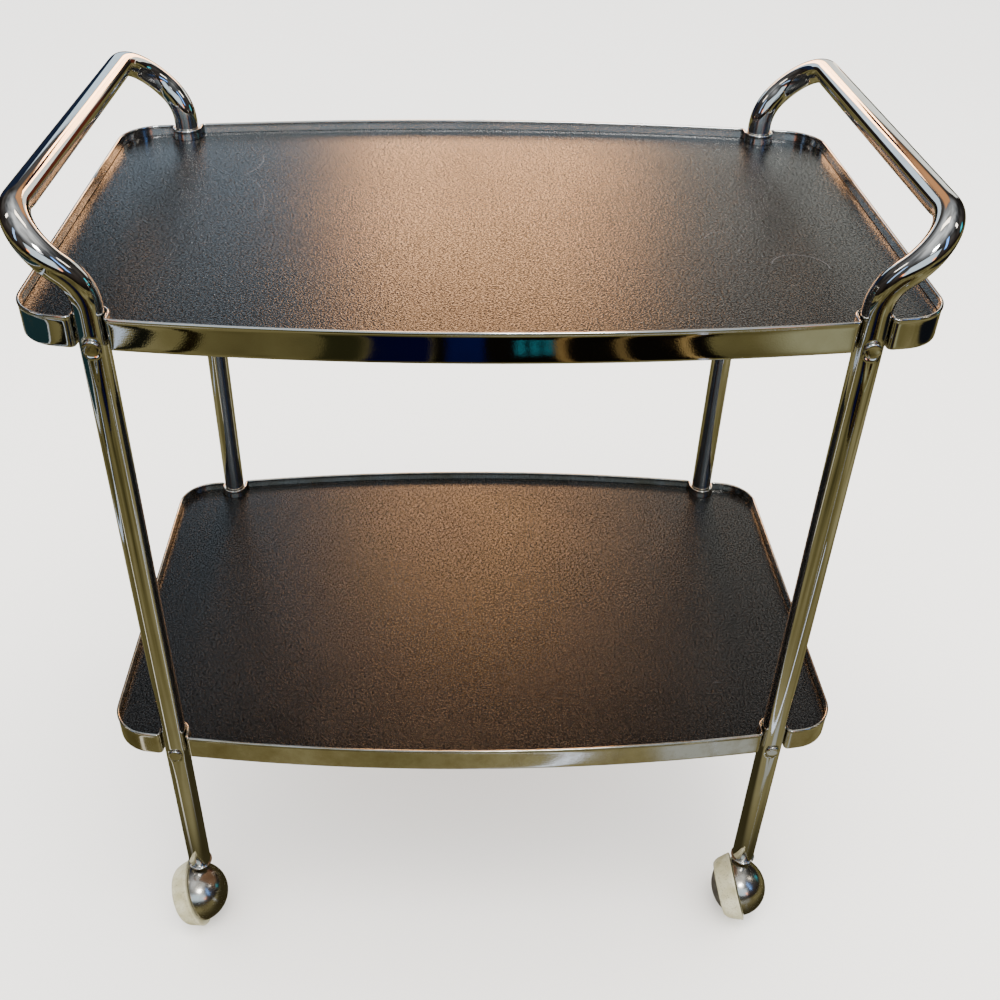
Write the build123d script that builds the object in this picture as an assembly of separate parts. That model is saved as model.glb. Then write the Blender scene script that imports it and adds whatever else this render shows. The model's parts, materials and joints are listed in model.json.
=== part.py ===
# Two-tier serving trolley: two bent-tube ends, two framed trays and four ball casters.
# Units are millimetres.  +Z is up, +X runs along the length, the front is -Y,
# and the origin is on the floor at the middle of the trolley.
import math
import os

from build123d import *

# ---- end frames -------------------------------------------------------------
tube_od = 22.0
tube_wall = 1.5
leg_x = 283.0
leg_y = 193.0
bend_radius = 40.0
riser_bend_up = 46.4          # first bend vertex above the upper bolts
grip_up = 92.2                # grip axis above the upper bolts
grip_x = 329.3
grip_corner_out = 12.0        # how far the grip corners swing past the legs

# ---- trays ------------------------------------------------------------------
tray_half_length = 342.3
tray_half_width = 220.5       # at the middle of the bowed sides
tray_side_at_leg = 201.0      # the bowed side where the legs stand
tray_corner = 38.0
rim_height = 25.8
rim_above_bolt = 23.8
rim_wall = 1.2
bead_out = 0.6                # the rolled top edge stands this far outside the band
bead_in = 1.9
bead_height = 2.6
lip_width = 5.0               # the turned-in lower edge
pocket_gap = 1.3              # between a leg and the pocket it nests in
pocket_mouth_fillet = 4.0
panel_drop = 9.6              # the panel lies this far below the rolled edge
laminate_thick = 0.8
board_thick = 6.0
panel_gap = 0.4               # between the panel's edge and the band

# ---- cross rails and fasteners ---------------------------------------------
rail_width = 18.0
rail_height = 14.8
rail_wall = 1.5
rail_end_plate = 2.0
bolt_radius = 3.0
bolt_clearance = 0.3
bolt_head_radius = 6.7
bolt_head_rise = 3.2
bolt_head_round = 1.3
bolt_end_past_nut = 2.0
seat_radius = 7.7             # flat pressed into the tube under each bolt head
seat_depth = 2.2
crease_length = 24.0          # the pressing runs out below the seat as a crease
crease_radius = 5.0
crease_stand_off = 2.0
nut_flats = 10.0
nut_thick = 5.0
screw_radius = 2.0
screw_head_radius = 4.0
screw_head_thick = 2.4
screw_depth = 4.5
screws_per_rail = 3
screw_pitch = 140.0

# ---- casters ----------------------------------------------------------------
caster_tilt = 17.3            # the wheel's axle dips this much, in degrees
caster_trail = 14.8
caster_side = 4.0
ball_below_tube = 34.0
hood_radius = 29.6
hood_wall = 1.4
hood_mouth = -0.8             # along the axle, from the ball's centre to the hood's edge
tread_radius = 34.4           # at the wide edge of the tread
tread_start = 0.8
tread_flat = 12.0             # width of the part that runs on the floor
tread_outer_radius = 27.2
tread_outer_at = 17.9
tyre_face_at = 19.0
tyre_face_radius = 25.2
tyre_bore = 23.6
hub_back = 1.0
hub_face = 17.2
hub_web = 4.0
hub_rim_wall = 3.0
hub_core_radius = 8.5
hub_core_face = 14.6
axle_radius = 3.0
running_clearance = 0.05
axle_head_radius = 5.4
axle_head_thick = 1.8
axle_inner_end = -25.0
axle_boss_radius = 6.0
cap_radius = 22.6
cap_rise = 8.4
cap_wall = 1.0
cap_base_at = 17.6
stem_radius = 4.0
stem_shoulder_radius = 5.2
stem_boss_radius = 8.0
stem_foot_above_ball = 9.0
stem_shoulder_foot = 14.0
socket_length = 30.0
socket_slack = 0.1
flange_radius = 12.2
flange_thick = 2.6
flange_round = 1.2
thrust_gap = 0.3
ring_groove = 0.6
ring_radius = 5.6
ring_thick = 1.0
stem_above_ring = 1.5
front_left_heading = 6.0      # turn of each caster from straight ahead, in degrees
front_right_heading = -2.0
back_left_heading = 178.0
back_right_heading = 186.0

# ---- heights, from the floor up ---------------------------------------------
tilt = math.radians(caster_tilt)
ball_height = tread_radius * math.cos(tilt) + tread_start * math.sin(tilt)
tube_end = ball_height + ball_below_tube
lower_bolt_up = 172.7         # above the tube ends
upper_bolt_up = 610.8
lower_bolt = tube_end + lower_bolt_up
upper_bolt = tube_end + upper_bolt_up

tube_radius = tube_od / 2
bore_radius = tube_radius - tube_wall
pocket_radius = tube_radius + pocket_gap

os.makedirs("parts", exist_ok=True)


def save(shape, node):
    export_step(shape, "parts/" + node + ".step")


def rod(radius, low, high, x=0.0, y=0.0):
    """A vertical cylinder between two heights."""
    return Pos(x, y, (low + high) / 2) * Cylinder(radius, high - low)


def block(x0, x1, y0, y1, z0, z1):
    """A box given by its limits."""
    centre = Pos((x0 + x1) / 2, (y0 + y1) / 2, (z0 + z1) / 2)
    return centre * Box(abs(x1 - x0), abs(y1 - y0), abs(z1 - z0))


def cross_rod(radius, x, y0, y1, z):
    """A cylinder that runs along Y."""
    return Pos(x, (y0 + y1) / 2, z) * Rot(90, 0, 0) * Cylinder(radius, abs(y1 - y0))


def bent_path(points, radius):
    """Straight runs through the points, joined by arcs of one radius."""
    edges = []
    here = Vector(*points[0])
    for before, corner, after in zip(points, points[1:], points[2:]):
        at = Vector(*corner)
        back = (Vector(*before) - at).normalized()
        ahead = (Vector(*after) - at).normalized()
        half = math.acos(max(-1.0, min(1.0, back.dot(ahead)))) / 2
        run = radius / math.tan(half)
        start = at + back * run
        end = at + ahead * run
        centre_line = (back + ahead).normalized()
        middle = at + centre_line * (radius / math.sin(half) - radius)
        edges.append(Line(here, start))
        edges.append(ThreePointArc(start, middle, end))
        here = end
    edges.append(Line(here, Vector(*points[-1])))
    return Wire(edges)


# ---- the two bent-tube ends ---------------------------------------------------
def end_tube(side):
    """One end: both legs, the risers and the grip are a single bent tube."""
    x = side * leg_x
    grip = side * grip_x
    corner_y = leg_y + grip_corner_out
    bend_z = upper_bolt + riser_bend_up
    grip_z = upper_bolt + grip_up
    points = [
        (x, -leg_y, tube_end),
        (x, -leg_y, bend_z),
        (grip, -corner_y, grip_z),
        (grip, corner_y, grip_z),
        (x, leg_y, bend_z),
        (x, leg_y, tube_end),
    ]
    path = bent_path(points, bend_radius)
    start = Plane(origin=points[0], x_dir=(1, 0, 0), z_dir=(0, 0, 1))
    outer = sweep(start * Circle(tube_radius), path=path)
    inner = sweep(start * Circle(bore_radius), path=path)
    tube = outer - inner
    for front in (-1, 1):
        for z in (lower_bolt, upper_bolt):
            tube = bolt_seat(tube, x, front, z)
    return tube


def bolt_seat(tube, x, front, z):
    """Press a flat seat and its crease into the outer face of a leg, and drill it."""
    crown = front * (leg_y + tube_radius)
    floor = crown - front * seat_depth
    back = floor - front * tube_wall
    local = rod(tube_radius - 0.2, z - seat_radius - crease_length, z + seat_radius * 2, x, front * leg_y)
    crease_z = z - seat_radius / 2 - crease_length / 2
    crease_y = crown + front * crease_stand_off
    crease = Pos(x, crease_y, crease_z) * Cone(0.01, crease_radius, crease_length)
    crease_back = Pos(x, crease_y, crease_z) * Cone(
        tube_wall * 1.4, crease_radius + tube_wall, crease_length
    )
    backing = cross_rod(seat_radius + tube_wall, x, floor, back, z) + crease_back
    tube = tube + (backing & local)
    tube = tube - cross_rod(seat_radius, x, floor, crown + front * 5, z)
    tube = tube - crease
    hole = bolt_radius + bolt_clearance
    return tube - cross_rod(hole, x, front * (leg_y - tube_radius - 1), crown, z)


save(end_tube(-1), "left_end_tube")
save(end_tube(1), "right_end_tube")

# ---- trays ----------------------------------------------------------------------
side_rise = tray_half_width - tray_side_at_leg
side_radius = (leg_x ** 2 + side_rise ** 2) / (2 * side_rise)


def side_y(x):
    """Where the bowed long side lies at a given x."""
    return tray_half_width - side_radius + math.sqrt(side_radius ** 2 - x ** 2)


def tray_outline():
    """The tray's outer line, with a pocket round each leg."""
    end_y = side_y(tray_half_length)
    length = tray_half_length
    edges = [
        ThreePointArc((-length, -end_y), (0, -tray_half_width), (length, -end_y)),
        Line((length, -end_y), (length, end_y)),
        ThreePointArc((length, end_y), (0, tray_half_width), (-length, end_y)),
        Line((-length, end_y), (-length, -end_y)),
    ]
    plan = make_face(Wire(edges))
    plan = fillet(plan.vertices(), tray_corner)
    for side in (-1, 1):
        for front in (-1, 1):
            spot = Pos(side * leg_x, front * leg_y)
            mouth = Pos(side * leg_x, front * (leg_y + 2 * pocket_radius)) * Rectangle(
                2 * pocket_radius, 4 * pocket_radius
            )
            plan = plan - spot * Circle(pocket_radius) - mouth
    mouths = [v for v in plan.vertices() if abs(abs(abs(v.X) - leg_x) - pocket_radius) < 0.1
              and abs(v.Y) > leg_y + 2]
    return fillet(mouths, pocket_mouth_fillet)


outline = tray_outline()
band_inner = offset(outline, -rim_wall)
bead_outer_line = offset(outline, bead_out)
bead_inner_line = offset(outline, -bead_in)
lip_inner = offset(outline, -(rim_wall + lip_width))
panel_line = offset(outline, -(rim_wall + panel_gap + bead_in - rim_wall))


def tray_rim(bolt_z):
    """Band with a rolled top edge, a turned-in lower edge and a notch at each bolt."""
    top = bolt_z + rim_above_bolt
    bottom = top - rim_height
    band = Pos(0, 0, bottom) * extrude(outline - band_inner, rim_height - bead_height / 2)
    bead = extrude(bead_outer_line - bead_inner_line, bead_height)
    bead = fillet(bead.edges().group_by(Axis.Z)[-1], bead_height * 0.42)
    bead = fillet(bead.edges().group_by(Axis.Z)[0], bead_height * 0.2)
    bead = Pos(0, 0, top - bead_height) * bead
    lip = Pos(0, 0, bottom) * extrude(band_inner - lip_inner, rim_wall)
    clear = pocket_radius + rim_wall + lip_width + 4
    for side in (-1, 1):
        for front in (-1, 1):
            x = side * leg_x
            lip = lip - block(x - clear, x + clear, front * (leg_y - clear), front * 300,
                              bottom - 1, bottom + 2)
    rim = band + bead + lip
    hole = bolt_radius + bolt_clearance
    for side in (-1, 1):
        rim = rim - cross_rod(hole, side * leg_x, -leg_y, leg_y, bolt_z)
    return rim


def rail_screw_spots():
    """Heights along Y of the screws that hold a rail to the board."""
    middle = (screws_per_rail - 1) / 2
    return [(i - middle) * screw_pitch for i in range(screws_per_rail)]


def cross_rail(side, bolt_z):
    """Box-section rail under the board, closed by a drilled plate at each end."""
    x = side * leg_x
    reach = leg_y - pocket_radius - rim_wall
    half_w = rail_width / 2
    half_h = rail_height / 2
    rail = block(x - half_w, x + half_w, -reach, reach, bolt_z - half_h, bolt_z + half_h)
    inner_reach = reach - rail_end_plate
    rail = rail - block(
        x - half_w + rail_wall, x + half_w - rail_wall, -inner_reach, inner_reach,
        bolt_z - half_h + rail_wall, bolt_z + half_h - rail_wall,
    )
    rail = rail - cross_rod(bolt_radius + bolt_clearance, x, -leg_y, leg_y, bolt_z)
    for y in rail_screw_spots():
        rail = rail - rod(screw_radius, bolt_z, bolt_z + rail_height, x, y)
        rail = rail - rod(screw_head_radius + 1, bolt_z - rail_height, bolt_z, x, y)
    return rail


def bolt(side, front, bolt_z):
    """Flat-headed bolt through a leg and into the rail's end."""
    x = side * leg_x
    seat = front * (leg_y + tube_radius - seat_depth)
    end = front * (leg_y - pocket_radius - rim_wall - rail_end_plate - nut_thick - bolt_end_past_nut)
    head = cross_rod(bolt_head_radius, x, seat, seat + front * bolt_head_rise, bolt_z)
    outer_edge = head.edges().filter_by(GeomType.CIRCLE).sort_by(Axis.Y)[-1 if front > 0 else 0]
    head = fillet(outer_edge, bolt_head_round)
    return head + cross_rod(bolt_radius, x, seat, end, bolt_z)


def weld_nut(side, front, bolt_z):
    """Hexagon nut inside the rail, against its end plate."""
    x = side * leg_x
    face = leg_y - pocket_radius - rim_wall - rail_end_plate
    flat = RegularPolygon(nut_flats / 2, 6, major_radius=False)
    nut = extrude(flat, nut_thick) - Pos(0, 0, nut_thick / 2) * Cylinder(bolt_radius, nut_thick * 2)
    turn = Rot(-90 * front, 0, 0)
    return Pos(x, front * (face - nut_thick), bolt_z) * turn * nut


def rail_screws(bolt_z):
    """All the short screws that hold the two rails to the board."""
    under = bolt_z + rail_height / 2 - rail_wall
    top = bolt_z + rail_height / 2 + screw_depth
    screws = []
    for side in (-1, 1):
        for y in rail_screw_spots():
            head = rod(screw_head_radius, under - screw_head_thick, under, side * leg_x, y)
            screws.append(head + rod(screw_radius, under, top, side * leg_x, y))
    return Compound(children=screws)


for name, bolt_z in (("lower", lower_bolt), ("upper", upper_bolt)):
    save(tray_rim(bolt_z), name + "_tray_rim")
    panel_top = bolt_z + rim_above_bolt - panel_drop
    board_low = panel_top - laminate_thick - board_thick
    board = Pos(0, 0, board_low) * extrude(panel_line, board_thick)
    for side in (-1, 1):
        for y in rail_screw_spots():
            board = board - rod(screw_radius, board_low - 1, board_low + screw_depth, side * leg_x, y)
    save(board, name + "_tray_board")
    laminate = Pos(0, 0, board_low + board_thick) * extrude(panel_line, laminate_thick)
    save(laminate, name + "_tray_laminate")
    save(cross_rail(-1, bolt_z), name + "_left_rail")
    save(cross_rail(1, bolt_z), name + "_right_rail")
    corners = [(side, front) for side in (-1, 1) for front in (-1, 1)]
    save(Compound(children=[bolt(s, f, bolt_z) for s, f in corners]), name + "_tray_bolts")
    save(Compound(children=[weld_nut(s, f, bolt_z) for s, f in corners]), name + "_weld_nuts")
    save(rail_screws(bolt_z), name + "_rail_screws")

# ---- casters ----------------------------------------------------------------------
# A caster is built about its own stem, with the trail along -Y and the wheel on -X.
# Its turned parts are built about +Z and then laid along the dipped axle.
axle_place = Pos(-caster_side, -caster_trail, ball_height) * Rot(0, -90 - caster_tilt, 0)
flange_foot = tube_end - flange_thick
shoulder_top = flange_foot - thrust_gap
socket_top = tube_end + socket_length
ring_foot = socket_top + thrust_gap


def turned(points):
    """Revolve a closed (radius, height) line about the Z axis."""
    face = make_face(Plane.XZ * Polyline(*points, close=True))
    return revolve(face, Axis.Z)


def caster_socket():
    """Sleeve in the tube's end, with a rounded flange under it."""
    sleeve = rod(bore_radius - socket_slack, tube_end, socket_top)
    flange = rod(flange_radius, flange_foot, tube_end)
    flange = fillet(flange.edges().group_by(Axis.Z)[0], flange_round)
    return sleeve + flange - rod(stem_radius + running_clearance, flange_foot - 1, socket_top + 1)


def caster_stem():
    """Stem with a thicker shoulder that carries the load on the flange."""
    top = ring_foot + ring_thick + stem_above_ring
    foot = ball_height + stem_foot_above_ball
    stem = rod(stem_radius, foot, top)
    stem = stem + rod(stem_shoulder_radius, ball_height + stem_shoulder_foot, shoulder_top)
    groove = rod(stem_radius + 1, ring_foot, ring_foot + ring_thick)
    groove = groove - rod(stem_radius - ring_groove, ring_foot - 1, ring_foot + ring_thick + 1)
    return stem - groove


def grip_ring():
    """Split ring that keeps the stem in its socket."""
    ring = rod(ring_radius, ring_foot, ring_foot + ring_thick)
    ring = ring - rod(stem_radius - ring_groove, ring_foot - 1, ring_foot + ring_thick + 1)
    slot = stem_radius * 0.7
    return ring - block(-slot, slot, 0, ring_radius * 2, ring_foot - 1, ring_foot + ring_thick + 1)


def caster_hood():
    """Half-ball cover with one boss for the stem and one for the axle."""
    ball = Sphere(hood_radius)
    behind = Pos(0, 0, hood_mouth - hood_radius) * Box(
        hood_radius * 3, hood_radius * 3, hood_radius * 2
    )
    solid = axle_place * (ball & behind)
    shell = axle_place * ((ball - Sphere(hood_radius - hood_wall)) & behind)
    axle_boss_length = hood_radius + hood_mouth
    axle_boss = Pos(0, 0, hood_mouth - axle_boss_length / 2) * Cylinder(
        axle_boss_radius, axle_boss_length
    )
    stem_boss = rod(stem_boss_radius, ball_height + stem_foot_above_ball - 2, tube_end)
    hood = shell + ((axle_place * axle_boss) & solid) + (stem_boss & solid)
    hood = hood - rod(stem_shoulder_radius, ball_height + stem_shoulder_foot, tube_end)
    hood = hood - rod(stem_radius, ball_height + stem_foot_above_ball, tube_end)
    bore_length = hood_mouth - axle_inner_end + 1
    bore = Pos(0, 0, axle_inner_end + bore_length / 2) * Cylinder(axle_radius, bore_length)
    return hood - axle_place * bore


def caster_axle():
    """Headed pin fixed in the hood."""
    head = hub_core_face + thrust_gap
    points = [
        (0, axle_inner_end),
        (axle_radius, axle_inner_end),
        (axle_radius, head),
        (axle_head_radius, head),
        (axle_head_radius, head + axle_head_thick),
        (0, head + axle_head_thick),
    ]
    return axle_place * turned(points)


def wheel_hub():
    """Webbed hub that carries the tyre and turns on the axle."""
    bore = axle_radius + running_clearance
    rim_inner = tyre_bore - hub_rim_wall
    web_low = hub_back + 1.5
    web_high = web_low + hub_web
    points = [
        (bore, hub_back),
        (hub_core_radius, hub_back),
        (hub_core_radius, web_low),
        (rim_inner, web_low),
        (rim_inner, hub_back),
        (tyre_bore, hub_back),
        (tyre_bore, hub_face),
        (rim_inner, hub_face),
        (rim_inner, web_high),
        (hub_core_radius, web_high),
        (hub_core_radius, hub_core_face),
        (bore, hub_core_face),
    ]
    return axle_place * turned(points)


def wheel_tyre():
    """Tapered tyre whose tread lies flat on the floor while the axle dips."""
    fall = math.tan(tilt)
    flat_end = tread_start + tread_flat
    flat_radius = tread_radius - fall * tread_flat
    shoulder = (tread_radius - 1.0, 0.0)
    outer_edge = (tread_outer_radius, tread_outer_at)
    bulge = ((flat_radius + tread_outer_radius) / 2 + 0.7, (flat_end + tread_outer_at) / 2)
    edges = [
        Line((tyre_bore, 0.0), shoulder),
        Line(shoulder, (tread_radius, tread_start)),
        Line((tread_radius, tread_start), (flat_radius, flat_end)),
        ThreePointArc((flat_radius, flat_end), bulge, outer_edge),
        Line(outer_edge, (tyre_face_radius, tyre_face_at)),
        Line((tyre_face_radius, tyre_face_at), (tyre_bore, tyre_face_at)),
        Line((tyre_bore, tyre_face_at), (tyre_bore, 0.0)),
    ]
    face = make_face(Plane.XZ * Wire(edges))
    return axle_place * revolve(face, Axis.Z)


def hub_cap():
    """Shallow dome pressed into the hub."""
    ball = (cap_radius ** 2 + cap_rise ** 2) / (2 * cap_rise)
    centre = cap_base_at + cap_rise - ball
    keep = Pos(0, 0, cap_base_at + cap_rise) * Cylinder(cap_radius, cap_rise * 2)
    dome = Pos(0, 0, centre) * (Sphere(ball) - Sphere(ball - cap_wall))
    skirt_radius = tyre_bore - hub_rim_wall
    skirt_low = hub_face - 2.0
    skirt = Pos(0, 0, (skirt_low + cap_base_at) / 2 + 0.4) * (
        Cylinder(skirt_radius, cap_base_at - skirt_low + 0.8)
        - Cylinder(skirt_radius - cap_wall, 20)
    )
    return axle_place * ((dome & keep) + skirt)


caster_pieces = (
    ("socket", caster_socket()),
    ("stem", caster_stem()),
    ("grip_ring", grip_ring()),
    ("hood", caster_hood()),
    ("axle", caster_axle()),
    ("hub", wheel_hub()),
    ("tyre", wheel_tyre()),
    ("hub_cap", hub_cap()),
)
caster_spots = (
    ("front_left", -leg_x, -leg_y, front_left_heading),
    ("front_right", leg_x, -leg_y, front_right_heading),
    ("back_left", -leg_x, leg_y, back_left_heading),
    ("back_right", leg_x, leg_y, back_right_heading),
)
for spot, x, y, heading in caster_spots:
    for piece, shape in caster_pieces:
        save(Pos(x, y, 0) * Rot(0, 0, heading) * shape, spot + "_" + piece)
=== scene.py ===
import json
import math

import bmesh
import bpy
from mathutils import Matrix, Vector


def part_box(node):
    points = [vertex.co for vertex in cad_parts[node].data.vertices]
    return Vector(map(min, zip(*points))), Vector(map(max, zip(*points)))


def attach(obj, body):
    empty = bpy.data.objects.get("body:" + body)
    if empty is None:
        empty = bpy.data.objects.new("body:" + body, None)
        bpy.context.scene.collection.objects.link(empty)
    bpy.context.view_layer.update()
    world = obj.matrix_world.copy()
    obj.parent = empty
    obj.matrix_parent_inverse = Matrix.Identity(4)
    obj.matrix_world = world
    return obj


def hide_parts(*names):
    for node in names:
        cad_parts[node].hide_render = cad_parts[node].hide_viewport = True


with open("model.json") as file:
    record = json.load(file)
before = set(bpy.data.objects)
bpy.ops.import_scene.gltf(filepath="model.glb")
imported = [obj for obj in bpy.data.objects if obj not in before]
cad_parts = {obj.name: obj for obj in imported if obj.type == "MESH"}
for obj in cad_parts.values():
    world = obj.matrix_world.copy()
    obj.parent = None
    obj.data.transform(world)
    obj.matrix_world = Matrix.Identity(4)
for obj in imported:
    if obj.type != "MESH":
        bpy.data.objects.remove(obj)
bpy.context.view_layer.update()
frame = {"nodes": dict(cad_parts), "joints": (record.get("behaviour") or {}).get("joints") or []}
mm = 0.001
joints = {j["name"]: j for j in frame["joints"]}
scene = bpy.context.scene


# camera: eye height and lens of someone standing in front of the trolley
camera = {
    "place": (-0.0295, -0.9287, 1.0933),
    "down": 36.0,
    "turn": 1.993,
    "lean": 1.177,
    "lens": 41.38,
    "shift": (0.02275, -0.02471),
}


def addCamera(c):
    down, turn, lean = (math.radians(c[k]) for k in ("down", "turn", "lean"))
    ahead = Vector((math.sin(turn) * math.cos(down), math.cos(turn) * math.cos(down), -math.sin(down)))
    right = ahead.cross(Vector((0, 0, 1))).normalized()
    up = right.cross(ahead)
    right, up = (right * math.cos(lean) + up * math.sin(lean), up * math.cos(lean) - right * math.sin(lean))
    data = bpy.data.cameras.new("camera")
    data.lens = c["lens"]
    data.sensor_width = 36
    data.shift_x, data.shift_y = c["shift"]
    data.clip_end = 60
    data.dof.use_dof = False
    o = bpy.data.objects.new("camera", data)
    o.matrix_world = Matrix.Translation(c["place"]) @ Matrix((right, up, -ahead)).transposed().to_4x4()
    scene.collection.objects.link(o)
    scene.camera = o


addCamera(camera)


def linear(code):
    parts = [int(code[i:i + 2], 16) / 255 for i in (1, 3, 5)]
    return tuple(p / 12.92 if p <= 0.04045 else ((p + 0.055) / 1.055) ** 2.4 for p in parts) + (1.0,)


def newMaterial(name):
    m = bpy.data.materials.new(name)
    m.use_nodes = True
    m.node_tree.nodes.clear()
    return m


def node(tree, kind, settings=None, **links):
    # settings: attributes, sockets by name or number, and a ramp's stops as (place, grey or colour)
    # links: a socket's name, with __ for a space, or _number, from an output or a node's first one
    n = tree.nodes.new("ShaderNode" + kind)
    for key, value in (settings or {}).items():
        if key == "stops":
            ramp = n.color_ramp
            while len(ramp.elements) < len(value):
                ramp.elements.new(0.5)
            for e, (at, colour) in zip(ramp.elements, value):
                e.position = at
                e.color = colour if isinstance(colour, tuple) else (colour, colour, colour, 1)
        elif isinstance(key, str) and hasattr(n, key):
            setattr(n, key, value)
        else:
            n.inputs[key].default_value = value
    for key, source in links.items():
        socket = int(key[1:]) if key[0] == "_" else key.replace("__", " ")
        out = source.outputs[0] if isinstance(source, bpy.types.Node) else source
        tree.links.new(out, n.inputs[socket])
    return n


def finishMaterial(m, surface):
    out = node(m.node_tree, "OutputMaterial", None, Surface=surface)
    out.is_active_output = True
    return m


def chromePlate(name, s):
    # nickel-chrome plate on polished steel: a clear mirror with a faint warm tint,
    # thin wiping scratches, a cloudy film left by hands and small pits of rust
    m = newMaterial(name)
    t = m.node_tree
    at = node(t, "TexCoord").outputs["Object"]
    film = node(t, "TexNoise", {"Scale": 1 / (s["film"] * mm), "Detail": 5.0, "Roughness": 0.6}, Vector=at)
    fine = node(t, "TexNoise", {"Scale": 1 / (s["ripple"] * mm), "Detail": 3.0}, Vector=at)
    low, high = s["rough"]
    rough = node(t, "MapRange", {"From Min": 0.35, "From Max": 0.75, "To Min": low, "To Max": high},
                 Value=film)
    # wiping scratches lie mostly one way, 14 mm long and 1 to 2 mm apart
    lay = node(t, "Mapping", {"Scale": (90, 12, 160), "Rotation": (0.3, 0.5, 0.2)}, Vector=at)
    wipes = node(t, "TexNoise", {"Scale": 6.0, "Detail": 4.0, "Roughness": 0.75}, Vector=lay)
    wipeMask = node(t, "ValToRGB", {"stops": [(0.62, 0.0), (0.7, 1.0)]}, Fac=wipes)
    roughAll = node(t, "MixRGB", {"blend_type": "ADD", "Fac": s["wipe"]}, Color1=rough, Color2=wipeMask)
    # pits come in patches, where the plate is thin
    pits = node(t, "TexVoronoi", {"Scale": 1 / (s["pits"] * mm), "Randomness": 1.0}, Vector=at)
    pitMask = node(t, "ValToRGB", {"stops": [(0.05, 1.0), (0.11, 0.0)]}, Fac=pits)
    patches = node(t, "TexNoise", {"Scale": 1 / (s["patches"] * mm), "Detail": 2.0}, Vector=at)
    patchMask = node(t, "ValToRGB", {"stops": [(0.55, 0.0), (0.68, 1.0)]}, Fac=patches)
    spots = node(t, "MixRGB", {"blend_type": "MULTIPLY", "Fac": 1.0}, Color1=pitMask, Color2=patchMask)
    dulled = node(t, "MapRange", {"From Min": 0.4, "From Max": 0.8, "To Max": s["dullness"]}, Value=film)
    tint = node(t, "MixRGB", {"Color1": linear(s["colour"]), "Color2": linear(s["dull"])}, Fac=dulled)
    colour = node(t, "MixRGB", {"Color2": linear(s["rust"])}, Fac=spots, Color1=tint)
    bump = node(t, "Bump", {"Strength": s["bump"], "Distance": 0.4 * mm}, Height=fine)
    shader = node(t, "BsdfPrincipled", {"Metallic": 1.0}, Base__Color=colour, Roughness=roughAll, Normal=bump)
    return finishMaterial(m, shader)


# film, ripple, pits and patches are sizes in mm
chrome = chromePlate("nickelChromePlate", {
    "colour": "#dad9d6", "dull": "#b9b09a", "dullness": 0.4, "rust": "#5b4426", "rough": (0.02, 0.075),
    "wipe": 0.05, "bump": 0.02, "film": 38.46, "ripple": 1.111, "pits": 2.381, "patches": 111.1,
})
# the lower rim and small fittings are handled less and cleaned less: cloudier, yellower
cloudedChrome = chromePlate("cloudedChromePlate", {
    "colour": "#d3d0c8", "dull": "#a89a74", "dullness": 0.85, "rust": "#55401f", "rough": (0.06, 0.17),
    "wipe": 0.08, "bump": 0.05, "film": 25.0, "ripple": 1.429, "pits": 3.333, "patches": 111.1,
})
# the caster hoods are scuffed all over, so highlights spread
scuffedChrome = chromePlate("scuffedChromePlate", {
    "colour": "#cfccc5", "dull": "#a09680", "dullness": 0.8, "rust": "#4c3a20", "rough": (0.17, 0.3),
    "wipe": 0.12, "bump": 0.12, "film": 14.29, "ripple": 2.381, "pits": 3.846, "patches": 111.1,
})


def scratchArc(t, at, centre, radius, start, end, width):
    # mask of one curved scratch: the part of a ring about centre from start to end, in degrees
    half, mid = math.radians(end - start) / 2, math.radians(start + end) / 2
    turn = Matrix.Rotation(-mid, 3, "Z")
    local = node(t, "Mapping", {"Location": -(turn @ Vector(centre)), "Rotation": (0, 0, -mid)}, Vector=at)
    away = node(t, "VectorMath", {"operation": "LENGTH"}, _0=local)
    off = node(t, "Math", {"operation": "SUBTRACT", 1: radius}, _0=away.outputs["Value"])
    size = node(t, "Math", {"operation": "ABSOLUTE"}, _0=off)
    band = node(t, "MapRange", {"From Min": width, "From Max": 0.0}, Value=size)
    part = node(t, "SeparateXYZ", None, Vector=local)
    edge = radius * math.cos(half)
    sector = node(t, "MapRange", {"From Min": edge, "From Max": edge + radius * 0.02},
                  Value=part.outputs["X"])
    return node(t, "Math", {"operation": "MULTIPLY"}, _0=band, _1=sector)


def leatherGrain(t, at, s):
    # height: pebbles broken up by crumbs, with longer folds taking over here and there
    flat = {"noise_dimensions": "2D"}
    warp = node(t, "TexNoise", {**flat, "Scale": 1 / (2.0 * mm), "Detail": 1.0}, Vector=at)
    bent = node(t, "MixRGB", {"blend_type": "LINEAR_LIGHT", "Fac": 0.0005},
                Color1=at, Color2=warp.outputs["Color"])
    pebbles = node(t, "TexVoronoi", {"voronoi_dimensions": "2D", "feature": "SMOOTH_F1", "Smoothness": 0.12,
                                     "Scale": 1 / (s["pebble"] * mm)}, Vector=bent)
    domes = node(t, "ValToRGB", {"stops": [(0.08, 1.0), (0.62, 0.0)]}, Fac=pebbles)
    crumbs = node(t, "TexNoise", {**flat, "Scale": 0.9 / (s["pebble"] * mm), "Detail": 1.0}, Vector=at)
    broken = node(t, "MapRange", {"From Min": 0.4, "From Max": 0.6}, Value=crumbs)
    grain = node(t, "MixRGB", {"Fac": s["crumbs"]}, Color1=domes, Color2=broken)
    along = node(t, "Mapping", {"Scale": (0.4, 1.0, 1.0)}, Vector=bent)
    folds = node(t, "TexNoise", {**flat, "Scale": 1 / (s["fold"] * mm), "Detail": 2.0, "Roughness": 0.5},
                 Vector=along)
    foldMask = node(t, "ValToRGB", {"stops": [(0.38, 0.0), (0.6, 1.0)]}, Fac=folds)
    where = node(t, "TexNoise", {**flat, "Scale": 1 / (250.0 * mm), "Detail": 2.0}, Vector=at)
    share = node(t, "MapRange", {"From Min": 0.4, "From Max": 0.6, "To Max": 0.3}, Value=where)
    return node(t, "MixRGB", None, Fac=share, Color1=grain, Color2=foldMask)


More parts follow.
